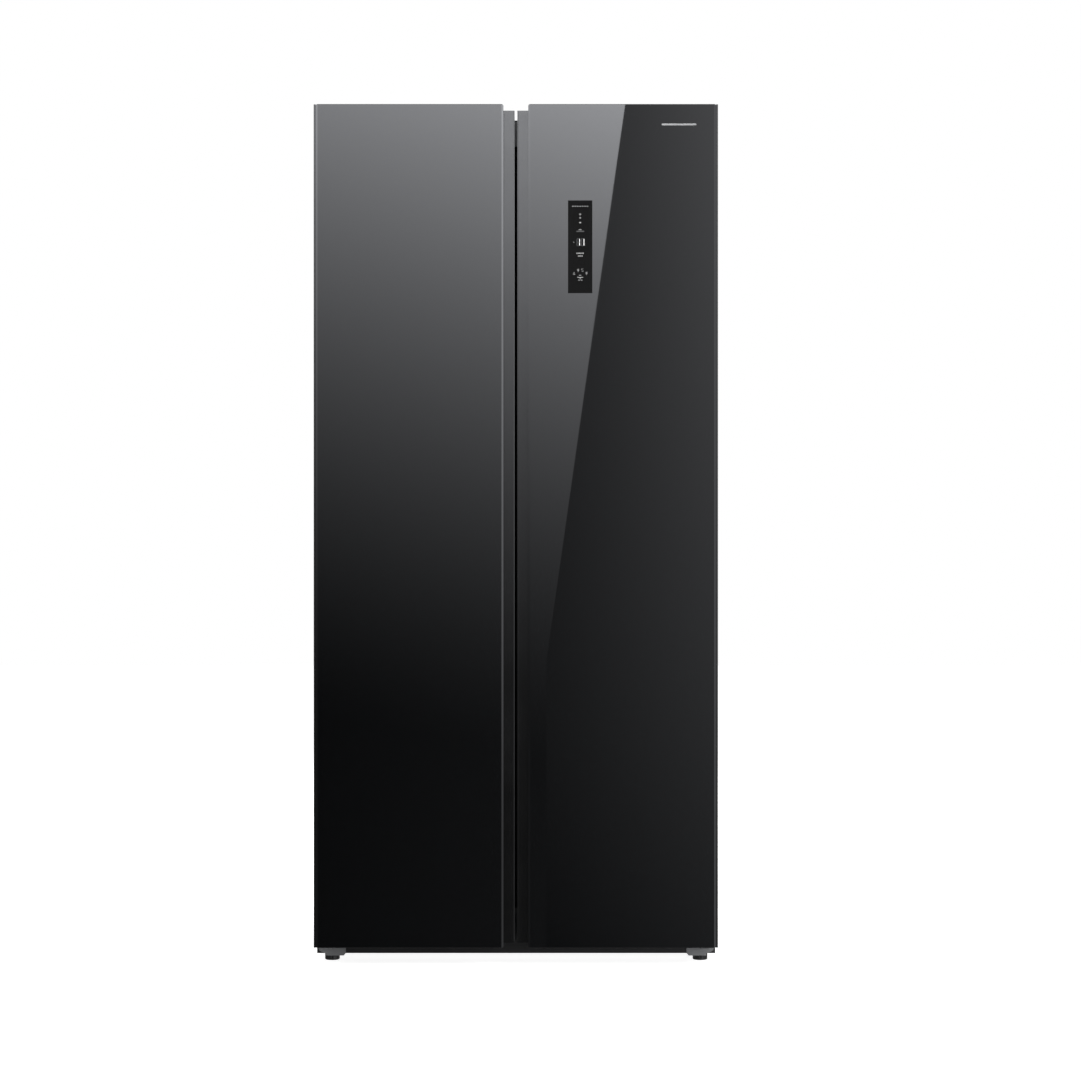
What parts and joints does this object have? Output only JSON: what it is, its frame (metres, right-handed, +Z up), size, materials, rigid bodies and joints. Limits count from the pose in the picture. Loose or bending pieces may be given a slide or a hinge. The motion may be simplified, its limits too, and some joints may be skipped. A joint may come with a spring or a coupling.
{
  "type": "side by side refrigerator",
  "caption": "Tall side by side fridge freezer with black glass doors, recessed full-height grips in the middle, a touch display, shelves, drawers and door bins.",
  "frame": {"origin": "on the floor, under the middle of the overall box", "axes": "+X to the right seen from the front, +Y from the doors to the back, +Z up"},
  "size_m": [0.833, 0.655, 1.775],
  "materials": {
    "door_glass": "gloss, printed black behind",
    "edge_profile": "dark anodised satin",
    "grip_plastic": "fine satin",
    "cap_plastic": "fine satin",
    "foam": "matt cellular",
    "liner_white": "soft gloss",
    "gasket_grey": "matt",
    "bin_clear": "clear gloss",
    "drawer_clear": "clear gloss",
    "cabinet_steel": "satin paint",
    "back_steel": "galvanised",
    "base_steel": "galvanised",
    "beam_steel": "satin black paint",
    "bracket_steel": "zinc grey",
    "pin_steel": "ground",
    "cover_plastic": "fine texture",
    "strip_steel": "satin paint",
    "pot_steel": "gloss black paint",
    "mount_rubber": "matt",
    "condenser_steel": "satin black paint",
    "shroud_plastic": "satin",
    "fan_plastic": "satin",
    "tray_plastic": "fine texture",
    "cover_board": "galvanised",
    "evaporator_metal": "mill finish",
    "inner_cover": "soft gloss",
    "motor_metal": "satin",
    "heater_metal": "matt",
    "duct_plastic": "soft gloss",
    "lamp_lens": "diffusing",
    "shelf_glass": "clear gloss",
    "shelf_trim": "satin silver",
    "display": "gloss",
    "foot_plastic": "fine texture",
    "roller_plastic": "fine texture"
  },
  "bodies": {
    "cabinet": {"outer_wrap": "cabinet_steel", "back_panel": "back_steel", "base_plate": "base_steel", "front_base_beam": "beam_steel", "insulation_foam": "foam", "freezer_liner": "liner_white", "fridge_liner": "liner_white", "mullion_strip": "strip_steel", "top_hinge_plates": "bracket_steel", "bottom_hinge_brackets": "bracket_steel", "hinge_pins": "pin_steel", "hinge_covers": "cover_plastic", "control_board_box": "cover_plastic", "compressor": "pot_steel", "compressor_grommets": "mount_rubber", "compressor_plate": "base_steel", "condenser_coil": "condenser_steel", "condenser_fan_shroud": "shroud_plastic", "drip_tray": "tray_plastic", "machine_room_cover": "cover_board", "evaporator_coil": "evaporator_metal", "evaporator_cover": "inner_cover", "evaporator_fan_motor": "motor_metal", "defrost_heater": "heater_metal", "air_duct_panel": "duct_plastic", "interior_lamps": "lamp_lens", "shelf_glass_plates": "shelf_glass", "shelf_front_trims": "shelf_trim"},
    "freezer_door": {"freezer_door_glass": "door_glass", "freezer_door_side_trim": "edge_profile", "freezer_door_handle_strip": "grip_plastic", "freezer_door_end_caps": "cap_plastic", "freezer_door_foam": "foam", "freezer_door_liner": "liner_white", "freezer_door_gasket": "gasket_grey"},
    "fridge_door": {"fridge_door_glass": "door_glass", "fridge_door_side_trim": "edge_profile", "fridge_door_handle_strip": "grip_plastic", "fridge_door_end_caps": "cap_plastic", "fridge_door_foam": "foam", "fridge_door_liner": "liner_white", "fridge_door_gasket": "gasket_grey", "display_module": "display"},
    "freezer_drawer_upper": {"freezer_drawer_upper": "drawer_clear"},
    "freezer_drawer_lower": {"freezer_drawer_lower": "drawer_clear"},
    "crisper_drawer_upper": {"crisper_drawer_upper": "drawer_clear"},
    "crisper_drawer_lower": {"crisper_drawer_lower": "drawer_clear"},
    "levelling_foot_left": {"levelling_foot_left": "foot_plastic"},
    "levelling_foot_right": {"levelling_foot_right": "foot_plastic"},
    "roller_left": {"roller_left": "roller_plastic"},
    "roller_right": {"roller_right": "roller_plastic"},
    "condenser_fan_blade": {"condenser_fan_blade": "fan_plastic"},
    "evaporator_fan_blade": {"evaporator_fan_blade": "fan_plastic"},
    "damper_flap": {"damper_flap": "fan_plastic"},
    "freezer_bin_top": {"freezer_bin_top": "bin_clear"},
    "freezer_bin_middle": {"freezer_bin_middle": "bin_clear"},
    "freezer_bin_bottom": {"freezer_bin_bottom": "bin_clear"},
    "fridge_bin_top": {"fridge_bin_top": "bin_clear"},
    "fridge_bin_middle": {"fridge_bin_middle": "bin_clear"},
    "fridge_bin_bottom": {"fridge_bin_bottom": "bin_clear"}
  },
  "joints": [
    {"name": "freezer_door_swing", "type": "hinge", "parent": "cabinet", "child": "freezer_door", "pos_m": [-0.3985, -0.2915, 0.9], "axis": [0, 0, -1], "range_deg": [0, 125]},
    {"name": "fridge_door_swing", "type": "hinge", "parent": "cabinet", "child": "fridge_door", "pos_m": [0.3985, -0.2915, 0.9], "axis": [0, 0, 1], "range_deg": [0, 125]},
    {"name": "freezer_drawer_upper_pull", "type": "slide", "parent": "cabinet", "child": "freezer_drawer_upper", "axis": [0, -1, 0], "range_m": [0, 0.24]},
    {"name": "freezer_drawer_lower_pull", "type": "slide", "parent": "cabinet", "child": "freezer_drawer_lower", "axis": [0, -1, 0], "range_m": [0, 0.24]},
    {"name": "crisper_drawer_upper_pull", "type": "slide", "parent": "cabinet", "child": "crisper_drawer_upper", "axis": [0, -1, 0], "range_m": [0, 0.24]},
    {"name": "crisper_drawer_lower_pull", "type": "slide", "parent": "cabinet", "child": "crisper_drawer_lower", "axis": [0, -1, 0], "range_m": [0, 0.24]},
    {"name": "freezer_bin_top_lift", "type": "slide", "parent": "freezer_door", "child": "freezer_bin_top", "axis": [0, 0, 1], "range_m": [0, 0.04]},
    {"name": "freezer_bin_middle_lift", "type": "slide", "parent": "freezer_door", "child": "freezer_bin_middle", "axis": [0, 0, 1], "range_m": [0, 0.04]},
    {"name": "freezer_bin_bottom_lift", "type": "slide", "parent": "freezer_door", "child": "freezer_bin_bottom", "axis": [0, 0, 1], "range_m": [0, 0.04]},
    {"name": "fridge_bin_top_lift", "type": "slide", "parent": "fridge_door", "child": "fridge_bin_top", "axis": [0, 0, 1], "range_m": [0, 0.04]},
    {"name": "fridge_bin_middle_lift", "type": "slide", "parent": "fridge_door", "child": "fridge_bin_middle", "axis": [0, 0, 1], "range_m": [0, 0.04]},
    {"name": "fridge_bin_bottom_lift", "type": "slide", "parent": "fridge_door", "child": "fridge_bin_bottom", "axis": [0, 0, 1], "range_m": [0, 0.04]},
    {"name": "levelling_foot_left_screw", "type": "slide", "parent": "cabinet", "child": "levelling_foot_left", "axis": [0, 0, -1], "range_m": [0, 0.012]},
    {"name": "levelling_foot_right_screw", "type": "slide", "parent": "cabinet", "child": "levelling_foot_right", "axis": [0, 0, -1], "range_m": [0, 0.012]},
    {"name": "roller_left_roll", "type": "hinge", "parent": "cabinet", "child": "roller_left", "pos_m": [-0.352, 0.275, 0.016], "axis": [1, 0, 0], "continuous": true},
    {"name": "roller_right_roll", "type": "hinge", "parent": "cabinet", "child": "roller_right", "pos_m": [0.352, 0.275, 0.016], "axis": [1, 0, 0], "continuous": true},
    {"name": "condenser_fan_spin", "type": "hinge", "parent": "cabinet", "child": "condenser_fan_blade", "pos_m": [0.02, 0.2265, 0.134], "axis": [1, 0, 0], "continuous": true},
    {"name": "evaporator_fan_spin", "type": "hinge", "parent": "cabinet", "child": "evaporator_fan_blade", "pos_m": [-0.19825, 0.2185, 0.89], "axis": [0, 1, 0], "continuous": true},
    {"name": "damper_tilt", "type": "hinge", "parent": "cabinet", "child": "damper_flap", "pos_m": [0.19825, 0.2665, 1.56], "axis": [-1, 0, 0], "range_deg": [0, 85]}
  ],
  "couplings": [
    {"joint": "freezer_drawer_upper_pull", "follows": "freezer_door_swing", "m_per_rad": 0.1099},
    {"joint": "freezer_drawer_lower_pull", "follows": "freezer_door_swing", "m_per_rad": 0.1099},
    {"joint": "crisper_drawer_upper_pull", "follows": "fridge_door_swing", "m_per_rad": 0.1099},
    {"joint": "crisper_drawer_lower_pull", "follows": "fridge_door_swing", "m_per_rad": 0.1099}
  ]
}
